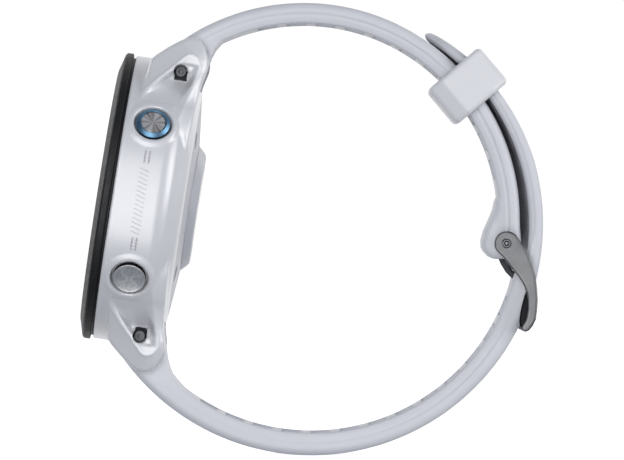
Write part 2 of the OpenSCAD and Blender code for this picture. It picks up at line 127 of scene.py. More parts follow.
def skin(field, lo, hi, h, warp=None, steps=4):
    """Surface of field < 0 as vertices (mm) and quads: a dual mesh on a regular grid, pulled onto the surface."""
    lo, hi, h = np.array(lo, float), np.array(hi, float), np.array(h, float)
    n = np.ceil((hi - lo) / h).astype(int) + 1
    ax = [lo[i] + h[i] * np.arange(n[i]) for i in range(3)]
    a = ax[0][:, None, None]
    b = ax[1][None, :, None]
    c = ax[2][None, None, :]
    p = (a, b, c) if warp is None else warp(a, b, c)
    F = np.ascontiguousarray(np.broadcast_to(field(*p), tuple(n)))
    S = F < 0
    m = np.array(n) - 1
    count = np.zeros(tuple(m), np.int8)
    for (i, j, k) in CORNERS:
        count += S[i:i + m[0], j:j + m[1], k:k + m[2]]
    active = (count > 0) & (count < 8)
    I, J, K = np.nonzero(active)
    index = np.full(tuple(m), -1, np.int64)
    index[I, J, K] = np.arange(len(I))
    P = np.zeros((len(I), 3))
    W = np.zeros(len(I))
    val = [F[I + ci, J + cj, K + ck] for (ci, cj, ck) in CORNERS]
    for (e0, e1) in EDGES:
        f0, f1 = val[e0], val[e1]
        q = (f0 < 0) != (f1 < 0)
        t = np.where(q, f0 / np.where(q, f0 - f1, 1), 0)
        c0, c1 = np.array(CORNERS[e0], float), np.array(CORNERS[e1], float)
        P += np.where(q[:, None], c0 + t[:, None] * (c1 - c0), 0)
        W += q
    P /= W[:, None]
    G = lo + (np.stack([I, J, K], 1) + P) * h
    V = G if warp is None else np.stack(np.broadcast_arrays(*warp(G[:, 0], G[:, 1], G[:, 2])), 1)
    quads = []
    for axis in range(3):
        u, v = (axis + 1) % 3, (axis + 2) % 3
        sl0 = [slice(None)] * 3
        sl1 = [slice(None)] * 3
        sl0[axis], sl1[axis] = slice(0, -1), slice(1, None)
        for q in (u, v):
            sl0[q] = sl1[q] = slice(1, -1)
        s0, s1 = S[tuple(sl0)], S[tuple(sl1)]
        for flip in (False, True):
            e = np.nonzero((s0 & ~s1) if not flip else (~s0 & s1))
            base = [e[0].copy(), e[1].copy(), e[2].copy()]
            for q in (u, v):
                base[q] = base[q] + 1
            ring = []
            for (du, dv) in ((1, 1), (0, 1), (0, 0), (1, 0)):
                cc = [base[0], base[1], base[2]]
                cc[u] = cc[u] - du
                cc[v] = cc[v] - dv
                ring.append(index[cc[0], cc[1], cc[2]])
            ring = np.stack(ring, 1)
            quads.append(ring[:, ::-1] if flip else ring)
    Q = np.concatenate(quads)
    Q = Q[(Q >= 0).all(1)]
    if warp is not None:
        # keep the winding outward under the warp
        e = 1e-3
        g0 = np.array([[(lo + hi) / 2][0]])
        base_p = np.stack(np.broadcast_arrays(*warp(g0[:, 0], g0[:, 1], g0[:, 2])), 1)[0]
        cols = []
        for q in range(3):
            g1 = g0.copy()
            g1[0, q] += e
            cols.append(np.stack(np.broadcast_arrays(*warp(g1[:, 0], g1[:, 1], g1[:, 2])), 1)[0] - base_p)
        if np.linalg.det(np.array(cols)) < 0:
            Q = Q[:, ::-1]
    eps = 0.02
    cap = 0.6 * float(h.max()) if warp is None else 0.3
    start = V.copy()
    for _ in range(steps):
        f = field(V[:, 0], V[:, 1], V[:, 2])
        g = np.stack([(field(V[:, 0] + (q == 0) * eps, V[:, 1] + (q == 1) * eps, V[:, 2] + (q == 2) * eps)
                       - field(V[:, 0] - (q == 0) * eps, V[:, 1] - (q == 1) * eps, V[:, 2] - (q == 2) * eps)) / (2 * eps)
                      for q in range(3)], 1)
        l2 = np.maximum((g * g).sum(1), 0.05)
        V = V - 0.8 * g * (f / l2)[:, None]
        D = V - start
        L = np.linalg.norm(D, axis=1)
        V = start + D * np.minimum(1, cap / np.maximum(L, 1e-9))[:, None]
    return V, Q


def build(name, V, Q, body, mat, replaces=(), place=None, sharp=None):
    me = bpy.data.meshes.new(name)
    V = np.asarray(V, float) * MM
    me.vertices.add(len(V))
    me.vertices.foreach_set("co", V.ravel())
    if isinstance(Q, np.ndarray):
        me.loops.add(Q.size)
        me.loops.foreach_set("vertex_index", Q.ravel().astype(np.int32))
        me.polygons.add(len(Q))
        k = Q.shape[1]
        me.polygons.foreach_set("loop_start", np.arange(0, Q.size, k, dtype=np.int32))
        me.polygons.foreach_set("loop_total", np.full(len(Q), k, np.int32))
    else:
        loops = [i for f in Q for i in f]
        me.loops.add(len(loops))
        me.loops.foreach_set("vertex_index", loops)
        me.polygons.add(len(Q))
        starts, t = [], 0
        for f in Q:
            starts.append(t)
            t += len(f)
        me.polygons.foreach_set("loop_start", starts)
        me.polygons.foreach_set("loop_total", [len(f) for f in Q])
    me.polygons.foreach_set("use_smooth", [True] * len(me.polygons))
    me.update(calc_edges=True)
    me.validate()
    if sharp is not None:
        me.set_sharp_from_angle(angle=math.radians(sharp))
    if not isinstance(mat, (list, tuple)):
        mat = [mat]
    for m in mat:
        me.materials.append(m)
    ob = bpy.data.objects.new(name, me)
    bpy.context.scene.collection.objects.link(ob)
    if place is not None:
        m = place.copy()
        m.translation = m.translation * MM
        ob.matrix_world = m
    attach(ob, body)
    if replaces:
        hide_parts(*replaces)
    return ob


def through_dial(V):
    V = np.asarray(V)
    return np.stack([ORG[0] + V[:, 2] * CT - V[:, 0] * ST, V[:, 1], ORG[1] - V[:, 2] * ST - V[:, 0] * CT], 1)


def lathe(profile, n=128):
    """A turned shape about z from (r, z) points; closed when the first and last points are on the axis or equal."""
    pts = list(profile)
    closed = pts[0] == pts[-1]
    if closed:
        pts = pts[:-1]
    V, ring = [], []
    for (r, z) in pts:
        if r < 1e-6:
            ring.append([len(V)] * n)
            V.append((0, 0, z))
        else:
            ring.append(list(range(len(V), len(V) + n)))
            for i in range(n):
                t = 2 * math.pi * i / n
                V.append((r * math.cos(t), r * math.sin(t), z))
    F = []
    m = len(pts)
    for k in range(m if closed else m - 1):
        a, b = ring[k], ring[(k + 1) % m]
        for i in range(n):
            j = (i + 1) % n
            f = []
            for v in (a[i], a[j], b[j], b[i]):
                if v not in f:
                    f.append(v)
            if len(f) > 2:
                F.append(f)
    # outward winding: the signed volume decides
    vol = 0.0
    A = np.array(V)
    for f in F[:: max(1, len(F) // 4000)]:
        p = A[f[0]]
        for q in range(1, len(f) - 1):
            vol += np.dot(p, np.cross(A[f[q]], A[f[q + 1]]))
    if vol < 0:
        F = [f[::-1] for f in F]
    return A, F


def rounded(points, r, n=4):
    """Rounds the corners of an open or closed (r, z) profile by up to r."""
    pts = [np.array(p, float) for p in points]
    out = [tuple(pts[0])]
    for i in range(1, len(pts) - 1):
        a, p, b = pts[i - 1], pts[i], pts[i + 1]
        la, lb = np.linalg.norm(a - p), np.linalg.norm(b - p)
        if la < 1e-9 or lb < 1e-9:
            continue
        t = min(r, la * 0.45, lb * 0.45)
        q0, q1 = p + (a - p) / la * t, p + (b - p) / lb * t
        for k in range(n + 1):
            s = k / n
            out.append(tuple((1 - s) ** 2 * q0 + 2 * s * (1 - s) * p + s * s * q1))
    out.append(tuple(pts[-1]))
    return out


# ---------------------------------------------------------------- materials
def material(name):
    m = bpy.data.materials.new(name)
    m.use_nodes = True
    t = m.node_tree
    p = next(n for n in t.nodes if n.type == "BSDF_PRINCIPLED")
    return m, t, p


def coords(t, scale=(1, 1, 1)):
    c = t.nodes.new("ShaderNodeTexCoord")
    mp = t.nodes.new("ShaderNodeMapping")
    mp.inputs["Scale"].default_value = scale
    t.links.new(c.outputs["Object"], mp.inputs["Vector"])
    return mp.outputs["Vector"]


def noise(t, vec, scale, detail=4, rough=0.55):
    n = t.nodes.new("ShaderNodeTexNoise")
    n.inputs["Scale"].default_value = scale
    n.inputs["Detail"].default_value = detail
    n.inputs["Roughness"].default_value = rough
    t.links.new(vec, n.inputs["Vector"])
    return n.outputs["Fac"]


def ramp(t, fac, stops):
    r = t.nodes.new("ShaderNodeValToRGB")
    while len(r.color_ramp.elements) > 1:
        r.color_ramp.elements.remove(r.color_ramp.elements[0])
    first = True
    for pos, col in stops:
        col = tuple(col) + (1,) if len(col) == 3 else tuple(col)
        if first:
            e = r.color_ramp.elements[0]
            e.position = pos
            first = False
        else:
            e = r.color_ramp.elements.new(pos)
        e.color = col
    t.links.new(fac, r.inputs["Fac"])
    return r.outputs["Color"]


def spread(t, fac, lo, hi, f0=0.3, f1=0.7):
    m = t.nodes.new("ShaderNodeMapRange")
    m.inputs["From Min"].default_value = f0
    m.inputs["From Max"].default_value = f1
    m.inputs["To Min"].default_value = lo
    m.inputs["To Max"].default_value = hi
    t.links.new(fac, m.inputs["Value"])
    return m.outputs["Result"]


def bump(t, height, strength, distance, p, before=None):
    b = t.nodes.new("ShaderNodeBump")
    b.inputs["Strength"].default_value = strength
    b.inputs["Distance"].default_value = distance
    t.links.new(height, b.inputs["Height"])
    if before is not None:
        t.links.new(before, b.inputs["Normal"])
    t.links.new(b.outputs["Normal"], p.inputs["Normal"])
    return b.outputs["Normal"]


def moulded(name, dark, light, r0, r1, grain=9000, grain_h=0.000006, broad=90, spec=0.5, coat=0.0, sheen=0.0, sss=0.0):
    m, t, p = material(name)
    v = coords(t)
    big = noise(t, v, broad, 3)
    t.links.new(ramp(t, big, [(0.3, dark), (0.7, light)]), p.inputs["Base Color"])
    fine = noise(t, v, grain, 3, 0.6)
    mid = noise(t, v, grain * 0.12, 2)
    t.links.new(spread(t, mid, r0, r1), p.inputs["Roughness"])
    n1 = bump(t, big, 0.15, 0.00004, p)
    bump(t, fine, 0.35, grain_h, p, n1)
    p.inputs["Specular IOR Level"].default_value = spec
    p.inputs["Coat Weight"].default_value = coat
    p.inputs["Coat Roughness"].default_value = 0.3
    p.inputs["Coat IOR"].default_value = 1.75
    p.inputs["Sheen Weight"].default_value = sheen
    p.inputs["Sheen Roughness"].default_value = 0.5
    if sss:
        p.inputs["Subsurface Weight"].default_value = sss
        p.inputs["Subsurface Radius"].default_value = (0.0012, 0.0011, 0.0012)
        p.inputs["Subsurface Scale"].default_value = 1.0
    return m


def metal(name, dark, light, r0, r1, stretch=(30, 1, 1), scale=2200, depth=0.000004, aniso=0.4):
    m, t, p = material(name)
    v = coords(t, stretch)
    streak = noise(t, v, scale, 5, 0.65)
    broad = noise(t, coords(t), 260, 2)
    t.links.new(ramp(t, streak, [(0.25, dark), (0.75, light)]), p.inputs["Base Color"])
    t.links.new(spread(t, broad, r0, r1), p.inputs["Roughness"])
    bump(t, streak, 0.4, depth, p)
    p.inputs["Metallic"].default_value = 1.0
    p.inputs["Anisotropic"].default_value = aniso
    return m


def turned(name, dark, light, r0=0.24, r1=0.4, highlight_fans=7.0, rings=9000.0, highlight_mix=0.6, radial=60.0):
    """Steel turned on a lathe about the piece's own z: fine circular marks, and a painted fan highlight in the base
    colour by angle.
    """
    m, t, p = material(name)
    c = t.nodes.new("ShaderNodeTexCoord")
    sep = t.nodes.new("ShaderNodeSeparateXYZ")
    t.links.new(c.outputs["Object"], sep.inputs["Vector"])
    at = t.nodes.new("ShaderNodeMath")
    at.operation = "ARCTAN2"
    t.links.new(sep.outputs["Y"], at.inputs[0])
    t.links.new(sep.outputs["X"], at.inputs[1])
    flat = t.nodes.new("ShaderNodeCombineXYZ")
    t.links.new(sep.outputs["X"], flat.inputs["X"])
    t.links.new(sep.outputs["Y"], flat.inputs["Y"])
    ln = t.nodes.new("ShaderNodeVectorMath")
    ln.operation = "LENGTH"
    t.links.new(flat.outputs["Vector"], ln.inputs[0])
    # painted highlight: a fan of lighter and darker base colour by angle, the same on opposite sides
    two = t.nodes.new("ShaderNodeMath")
    two.operation = "MULTIPLY"
    two.inputs[1].default_value = 2.0
    t.links.new(at.outputs[0], two.inputs[0])
    cs = t.nodes.new("ShaderNodeMath")
    cs.operation = "COSINE"
    sn = t.nodes.new("ShaderNodeMath")
    sn.operation = "SINE"
    t.links.new(two.outputs[0], cs.inputs[0])
    t.links.new(two.outputs[0], sn.inputs[0])
    cmb = t.nodes.new("ShaderNodeCombineXYZ")
    t.links.new(cs.outputs[0], cmb.inputs["X"])
    t.links.new(sn.outputs[0], cmb.inputs["Y"])
    rs = t.nodes.new("ShaderNodeMath")
    rs.operation = "MULTIPLY"
    rs.inputs[1].default_value = radial
    t.links.new(ln.outputs["Value"], rs.inputs[0])
    t.links.new(rs.outputs[0], cmb.inputs["Z"])
    painted_fan_highlight = noise(t, cmb.outputs["Vector"], highlight_fans * 0.25, 2, 0.5)
    # circular tool marks
    rv = t.nodes.new("ShaderNodeCombineXYZ")
    t.links.new(ln.outputs["Value"], rv.inputs["X"])
    marks = noise(t, rv.outputs["Vector"], rings, 4, 0.7)
    mix = t.nodes.new("ShaderNodeMix")
    mix.data_type = "FLOAT"
    mix.inputs["Factor"].default_value = 1 - highlight_mix
    t.links.new(painted_fan_highlight, mix.inputs["A"])
    t.links.new(marks, mix.inputs["B"])
    # base colour: the painted fan highlight mixed with the tool-mark tone
    t.links.new(ramp(t, mix.outputs["Result"], [(0.40, dark), (0.60, light)]), p.inputs["Base Color"])
    t.links.new(spread(t, marks, r0, r1), p.inputs["Roughness"])
    bump(t, marks, 0.5, 0.000006, p)
    p.inputs["Metallic"].default_value = 1.0
    return m


WHITE = moulded("case_white_polymer", (0.655, 0.66, 0.685), (0.68, 0.685, 0.705), 0.38, 0.48, spec=1.0, coat=1.0)
LINER = moulded("back_grey_polymer", (0.46, 0.465, 0.505), (0.50, 0.505, 0.54), 0.34, 0.46)
BLACK = moulded("bezel_black_polymer", (0.005, 0.005, 0.006), (0.009, 0.009, 0.010), 0.46, 0.6, grain=12000, spec=0.4)
SILICONE = moulded("strap_silicone", (0.63, 0.635, 0.67), (0.665, 0.67, 0.705), 0.42, 0.56, grain=14000, grain_h=0.000004, broad=60, sheen=0.05, sss=0.0)
# the keeper gets a lighter copy of the strap silicone to brighten its shaded corner bands: painted light
KEEPER = moulded("keeper_silicone", (0.725, 0.73, 0.75), (0.765, 0.77, 0.785), 0.42, 0.56, grain=14000, grain_h=0.000004, broad=60, sheen=0.05)
SEAL = moulded("seal_black_rubber", (0.012, 0.012, 0.013), (0.02, 0.02, 0.022), 0.55, 0.7)
STEEL = metal("buckle_brushed_steel", (0.135, 0.138, 0.14), (0.20, 0.203, 0.205), 0.36, 0.48, stretch=(1, 1, 14))
DARKSTEEL = metal("tongue_dark_steel", (0.02, 0.021, 0.024), (0.05, 0.052, 0.058), 0.28, 0.42, stretch=(1, 14, 1))
PINSTEEL = metal("pin_steel", (0.16, 0.165, 0.17), (0.26, 0.265, 0.27), 0.25, 0.35)
# the start disc and the button caps carry the painted fan highlight in their base colour
TURNED = turned("start_disc_steel", (0.42, 0.37, 0.34), (1.0, 0.99, 0.97), r0=0.36, r1=0.5, highlight_fans=4.6, highlight_mix=0.9)
TURNED2 = turned("button_cap_steel", (0.66, 0.66, 0.645), (1.0, 1.0, 0.98), r0=0.36, r1=0.5, highlight_fans=5.0, highlight_mix=0.45, radial=700.0, rings=3200.0)
BLUE = metal("ring_blue_anodised", (0.10, 0.215, 0.33), (0.18, 0.33, 0.47), 0.30, 0.42, stretch=(1, 1, 20), scale=1800)
NAVY = moulded("ring_side_navy", (0.006, 0.012, 0.03), (0.01, 0.02, 0.045), 0.3, 0.4)
# near-black steel that stands in for the shade inside the buckle arms: painted shade
LIP_PAINTED_SHADE = metal("buckle_inner_painted_shade", (0.008, 0.008, 0.009), (0.018, 0.018, 0.02), 0.35, 0.5)
SCREW = metal("lug_screw_steel", (0.07, 0.073, 0.078), (0.125, 0.128, 0.134), 0.35, 0.5)
HOLE = moulded("pin_hole_shadow", (0.02, 0.02, 0.028), (0.035, 0.035, 0.045), 0.6, 0.7, spec=0.2)
GOLD = metal("contact_gold", (0.62, 0.42, 0.14), (0.85, 0.62, 0.26), 0.2, 0.34)
BOARD = moulded("board_solder_mask", (0.004, 0.05, 0.02), (0.01, 0.09, 0.035), 0.3, 0.4, broad=900)
FOIL = metal("cell_foil", (0.50, 0.51, 0.54), (0.68, 0.69, 0.72), 0.3, 0.45, stretch=(1, 1, 1), scale=700, aniso=0.0)
INK = moulded("side_mark_grey", (0.56, 0.56, 0.58), (0.62, 0.62, 0.64), 0.45, 0.55)
SCREEN = moulded("screen_black", (0.003, 0.003, 0.004), (0.006, 0.006, 0.007), 0.15, 0.22)


def glow(name, col, strength):
    m, t, p = material(name)
    v = coords(t)
    n = noise(t, v, 3000, 2)
    c = ramp(t, n, [(0.3, [x * 0.92 for x in col]), (0.7, col)])
    t.links.new(c, p.inputs["Base Color"])
    t.links.new(c, p.inputs["Emission Color"])
    p.inputs["Emission Strength"].default_value = strength
    p.inputs["Roughness"].default_value = 0.3
    return m


def glass(name, col, trans, r=0.03):
    m, t, p = material(name)
    v = coords(t)
    n = noise(t, v, 500, 2)
    t.links.new(ramp(t, n, [(0.3, [x * 0.97 for x in col]), (0.7, col)]), p.inputs["Base Color"])
    t.links.new(spread(t, n, r, r + 0.02), p.inputs["Roughness"])
    p.inputs["Transmission Weight"].default_value = trans
    p.inputs["IOR"].default_value = 1.5
    return m


LENS = glass("lens_cover_glass", (0.93, 0.95, 0.96), 1.0)
SENSOR = glass("sensor_dark_glass", (0.10, 0.10, 0.12), 0.75, 0.05)
SEG = glow("dial_segments_white", (0.80, 0.82, 0.84), 0.6)
SEGB = glow("dial_accent_blue", (0.08, 0.33, 0.62), 0.7)
SEGO = glow("dial_accent_amber", (0.75, 0.34, 0.05), 0.6)
LED = glow("sensor_led_green", (0.05, 0.5, 0.12), 0.5)

# ---------------------------------------------------------------- case body
SIDE = [(9, 0.8), (22.6, 2.5), (23.4, 3.2), (24.9, 4.9), (26.2, 6.6), (26.75, 7.5), (27, 8.4), (27.05, 9.2), (26.7, 10.1), (25.8, 10.85), (24.5, 11.4), (23.3, 11.75), (22.1, 11.75), (20.6, 11.35), (19.6, 11.1), (9, 10.5)]
RIDGE = [(12.5, 0.2), (16.5, 1.45), (19.7, 4.2), (21.75, 6.2), (23.6, 7.8), (24.15, 8.4), (24.3, 9.1), (24.0, 9.9), (23.4, 10.4), (22.6, 10.8), (21.8, 10.75), (18.8, 9.8), (16.1, 8.95), (12.5, 8.1)]


def case_field(w, y, u):
    r = np.hypot(w, y)
    aw, ay = np.abs(w), np.abs(y)
    chamfer = (r - 23.0) * 0.587 + (u - 8.4) * 0.81
    back = (r - 19) * 0.0995 + (u - 11.3) * 0.995
    shell = rmax(rmax(rmax(r - 23.0, chamfer, 1.1), back, 0.5), -u, 0.2)
    top = np.where(aw < 15.5, np.sqrt(np.maximum(529 - aw * aw, 0)) - 0.12 * (15.5 - aw), 13.75 + 3.25 * np.exp(-(np.maximum(aw, 15.5) - 15.5) / 3.1))
    ridge = poly(RIDGE, aw, u)
    high = top - 0.5 * np.maximum(ridge, 0) + 0.1 * np.exp(-(ridge / 0.26) ** 2)
    lug = rmax(rmax(poly(SIDE, aw, u), (ay - high) * 0.85, 0.45), 11.15 - ay, 0.25)
    f = rmin(shell, lug, 0.35)
    # raised rims around the buttons
    for a in BTN.values():
        c, s = math.cos(math.radians(a)), math.sin(math.radians(a))
        t = w * c + y * s
        q = np.hypot(y * c - w * s, u - BTN_U)
        f = rmin(f, rmax(rmax(q - 3.95, t - 23.05, 0.32), 17 - t, 0.1), 0.4)
    # scoops: the wall runs on between the two ridges and drops to the pin holes
    cyl = np.sqrt(np.maximum(529 - aw * aw, 0))
    dl = (aw - 16.5) * -0.6635 + (u - 1.45) * 0.7485
    dr = (aw - 14.2) * 0.284 - (u - 8.6) * 0.959
    k = step01((dl - 0.2) / 0.75) * step01((dr - 0.25) / 1.35) * (1 - step01((aw - 22.3) / 0.9))
    low = 11.8 + 1.25 * np.clip(aw - 20.2, 0, 1.4)
    floor_y = 0.5 * (cyl + low + np.sqrt((cyl - low) ** 2 + 0.25)) + 0.7 * np.clip(16 - aw, 0, 9)
    base = np.maximum(high, cyl) + 0.25
    f = rmax(f, (ay - (base - (base - np.minimum(floor_y, base)) * k)) * 0.5, 0.08)
    for a in BTN.values():
        c, s = math.cos(math.radians(a)), math.sin(math.radians(a))
        t = w * c + y * s
        q = np.hypot(y * c - w * s, u - BTN_U)
        f = cut(f, rmax((q - 2.88 - 0.3 * np.clip(t - 22.2, 0, 1.2)) * 0.82, 21.62 - t, 0.1), 0.1)
        f = cut(f, rmax(q - 0.95, 15 - t, 0.1), 0.05)
        f = cut(f, rmax(rmax(q - 3.2, t - 20.6, 0.1), 17.4 - t, 0.1), 0.05)
    # cavity and back cover seat
    hollow = rmax(r - 21, chamfer + 1.9, 0.3)
    wide = np.maximum(hollow, u - 2.9)
    narrow = np.maximum(np.maximum(hollow, aw - 17.2), u - 9.4)
    f = cut(f, np.minimum(np.maximum(np.minimum(wide, narrow), -1 - u), np.maximum(r - 16.4, -1 - u)), 0.1)
    f = cut(f, np.maximum(r - 17.7, 10.2 - u), 0.1)
    # strap pockets and pin holes
    f = cut(f, rmax(rmax(18.8 - aw, ay - 11.15, 0.3), 3.9 - u, 0.3), 0.3)
    q = np.hypot(aw - LUG_W, u - LUG_U)
    f = cut(f, np.minimum(np.maximum(q - 1.12, 11.9 - ay), q - 0.82), 0.1)
    slot_d = rmax(np.abs(aw - (LUG_W - 0.75)) - 0.65, np.abs(u - LUG_U - 0.08) - 0.98, 0.45)
    f = cut(f, np.maximum(slot_d, 11.65 - ay), 0.08)
    return f


V, Q = skin(case_field, (-27.6, -23.6, -0.5), (27.6, 23.6, 12.3), (0.27, 0.27, 0.27))
case = build("case_shell", through_dial(V), Q, "case", [WHITE, HOLE], ["case_body"])
# painted shadow: faces inside the pin holes and slots get the near-black shadow material
C = V[Q].mean(1)
dark = ((np.hypot(np.abs(C[:, 0]) - LUG_W, C[:, 2] - LUG_U) < 1.14) & (np.abs(C[:, 0]) < LUG_W + 0.2)) | ((np.abs(np.abs(C[:, 0]) - LUG_W + 0.75) < 0.68) & (np.abs(C[:, 2] - LUG_U - 0.08) < 1.0))
dark &= (np.abs(C[:, 1]) > 11.3) & (np.abs(C[:, 1]) < 12.45)
case.data.polygons.foreach_set("material_index", dark.astype(np.int32))

# ---------------------------------------------------------------- bezel, lens and dial
prof = rounded([(18.1, -0.02), (22.55, -0.02), (22.55, -0.45), (23.235, -0.5), (23.235, -1.45), (22.95, -1.75), (20.95, -2.29), (20.3, -2.49), (19.6, -2.49), (19.55, -1.2), (18.1, -1.2), (18.1, -0.02)], 0.14)
A, F = lathe(prof + [prof[0]] if prof[0] != prof[-1] else prof, 224)
build("bezel_ring", through_dial(A), F, "case", BLACK, ["bezel"], sharp=40)
prof = rounded([(0, -1.36), (19.5, -1.36), (19.5, -2.45), (19.2, -2.47), (0, -2.47)], 0.12)
A, F = lathe(prof, 192)
build("lens_cover", through_dial(A), F, "case", LENS, ["display_lens"], sharp=40)

# a generic digital dial on the display: rings, ticks and seven-segment digits as thin raised shapes
DV, DF, DM = [], [], []


def plate(points, level, mi):
    """A thin closed tile from an outline in dial coordinates: x right, y up on the face."""
    n = len(points)
    b = len(DV)
    for z in (level, level - 0.03):
        for (x, yv) in points:
            DV.append((-yv, -x, z))
    DF.append(list(range(b, b + n))); DM.append(mi)
    DF.append(list(range(b + 2 * n - 1, b + n - 1, -1))); DM.append(mi)
    for i in range(n):
        j = (i + 1) % n
        DF.append([b + j, b + i, b + n + i, b + n + j]); DM.append(mi)


def band(r0, r1, a0, a1, level, mi, n=40):
    k = max(2, int(n * abs(a1 - a0) / 90))
    out = [(r1 * math.cos(math.radians(a0 + (a1 - a0) * i / k)), r1 * math.sin(math.radians(a0 + (a1 - a0) * i / k))) for i in range(k + 1)]
    inn = [(r0 * math.cos(math.radians(a1 + (a0 - a1) * i / k)), r0 * math.sin(math.radians(a1 + (a0 - a1) * i / k))) for i in range(k + 1)]
    for i in range(k):
        plate([out[i], out[i + 1], inn[k - i - 1], inn[k - i]], level, mi)


def digit(d, cx, cy, h, level, mi):
    w, t = h * 0.52, h * 0.13
    seg = {"a": (0, h / 2, 1), "b": (w / 2, h / 4, 0), "c": (w / 2, -h / 4, 0), "d": (0, -h / 2, 1), "e": (-w / 2, -h / 4, 0), "f": (-w / 2, h / 4, 0), "g": (0, 0, 1)}
    on = {"0": "abcdef", "1": "bc", "2": "abged", "3": "abgcd", "4": "fgbc", "5": "afgcd", "6": "afgcde", "7": "abc", "8": "abcdefg", "9": "abcdfg"}[d]
    for k in on:
        x, yv, flat = seg[k]
        L = (w if flat else h / 2) / 2 - t * 0.25
        p = [(-L, 0), (-L + t / 2, t / 2), (L - t / 2, t / 2), (L, 0), (L - t / 2, -t / 2), (-L + t / 2, -t / 2)]
        if not flat:
            p = [(-b, a) for (a, b) in p]
        plate([(cx + x + a, cy + yv + b) for (a, b) in p], level, mi)


LV = -1.305
for i in range(60):
    a = math.radians(90 - 6 * i)
    L, hw = (1.5, 0.16) if i % 5 == 0 else (0.8, 0.07)
    r1 = 17.0
    c, s = math.cos(a), math.sin(a)
    plate([(c * (r1 - L) - s * hw, s * (r1 - L) + c * hw), (c * (r1 - L) + s * hw, s * (r1 - L) - c * hw), (c * r1 + s * hw, s * r1 - c * hw), (c * r1 - s * hw, s * r1 + c * hw)], LV, 0)
band(14.1, 14.9, 140, 55, LV, 1)
band(14.1, 14.9, -40, -125, LV, 2)
for k, ch in enumerate("1008"):
    digit(ch, (-8.3, -3.2, 3.2, 8.3)[k], 0.8, 6.6, LV, 0)
for yv in (-0.6, 2.2):
    plate([(-0.35, yv - 0.35), (0.35, yv - 0.35), (0.35, yv + 0.35), (-0.35, yv + 0.35)], LV, 0)
for k, ch in enumerate("72"):
    digit(ch, -1.3 + 2.6 * k, -6.6, 2.6, LV, 1)
for k, ch in enumerate("5400"):
    digit(ch, -3.0 + 2.0 * k, 8.4, 2.2, LV, 2)
dial = build("dial_marks", through_dial(np.array(DV)), DF, "case", [SEG, SEGB, SEGO])
dial.data.polygons.foreach_set("material_index", DM)
dial.data.polygons.foreach_set("use_smooth", [False] * len(DF))

# faint engraved-style marks on the case wall: two short pairs of dashes and a row of slanted ticks
MV, MF = [], []


def on_wall(pts_wu, lift):
    """A thin tile that follows the case wall on the near side; points are (w, u)."""
    n = len(pts_wu)
    b = len(MV)
    for rr in (23.0 + lift, 22.9):
        for (w, u) in pts_wu:
            MV.append((rr * w / 23.0, -rr * math.sqrt(1 - (w / 23.0) ** 2), u))
    MF.append(list(range(b, b + n)))
    MF.append(list(range(b + 2 * n - 1, b + n - 1, -1)))
    for i in range(n):
        j = (i + 1) % n
        MF.append([b + j, b + i, b + n + i, b + n + j])


for (w0, w1) in ((-8.0, -6.0), (5.9, 7.9)):
    for u0 in (4.05, 4.75):
        k = 4
        for i in range(k):
            a0, a1 = w0 + (w1 - w0) * i / k, w0 + (w1 - w0) * (i + 1) / k
            on_wall([(a0, u0), (a1, u0), (a1, u0 + 0.3), (a0, u0 + 0.3)], 0.012)
for i in range(15):
    w0 = -5.2 + i * 0.72
    for k in range(3):
        f0, f1 = k / 3, (k + 1) / 3
        on_wall([(w0 + 0.45 * f0, 3.7 + 1.5 * f0), (w0 + 0.45 * f1, 3.7 + 1.5 * f1), (w0 + 0.45 * f1 + 0.1, 3.7 + 1.5 * f1), (w0 + 0.45 * f0 + 0.1, 3.7 + 1.5 * f0)], 0.008)
marks = build("side_marks", through_dial(np.array(MV)), MF, "case", INK)

# ---------------------------------------------------------------- back
def back_field(w, y, u):
    r = np.hypot(w, y)
    top = (r - 17.6) * 0.102 + (u - 11.42) * 0.995
    f = rmax(rmax(r - 17.6, top, 0.25), 10.22 - u, 0.05)
    f = cut(f, r - 10.2, 0.15)
    for i in range(4):
        a = math.radians(45 + 90 * i)
        q = np.hypot(w - 15.2 * math.cos(a), y - 15.2 * math.sin(a))
        f = cut(f, np.minimum(np.maximum(q - 1.35, 11 - u), q - 0.75), 0.1)
    port = rmax(rmax(np.abs(w) - 4.2, np.abs(y - 13.8) - 1.6, 0.5), 11.3 - u, 0.1)
    f = cut(f, port, 0.15)
    return f


V, Q = skin(back_field, (-17.9, -17.9, 9.9), (17.9, 17.9, 12.5), (0.22, 0.22, 0.22))
build("back_plate", through_dial(V), Q, "case", LINER, ["back_cover"])
prof = rounded([(6.22, 12.7), (6.22, 13.5), (8.6, 13.5), (9.0, 13.32), (10.05, 12.3), (10.12, 12.1), (10.12, 11.05), (8.6, 11.05), (8.6, 12.1), (5.6, 12.3), (5.6, 12.7), (6.22, 12.7)], 0.18)
A, F = lathe(prof + [prof[0]] if prof[0] != prof[-1] else prof, 160)
build("sensor_bump", through_dial(A), F, "case", LINER, ["sensor_housing"], sharp=40)
prof = rounded([(0, 12.7), (6.19, 12.7), (6.19, 13.46), (6.0, 13.5), (0, 13.5)], 0.08)
A, F = lathe(prof, 128)
build("sensor_glass", through_dial(A), F, "case", SENSOR, ["sensor_window"], sharp=40)


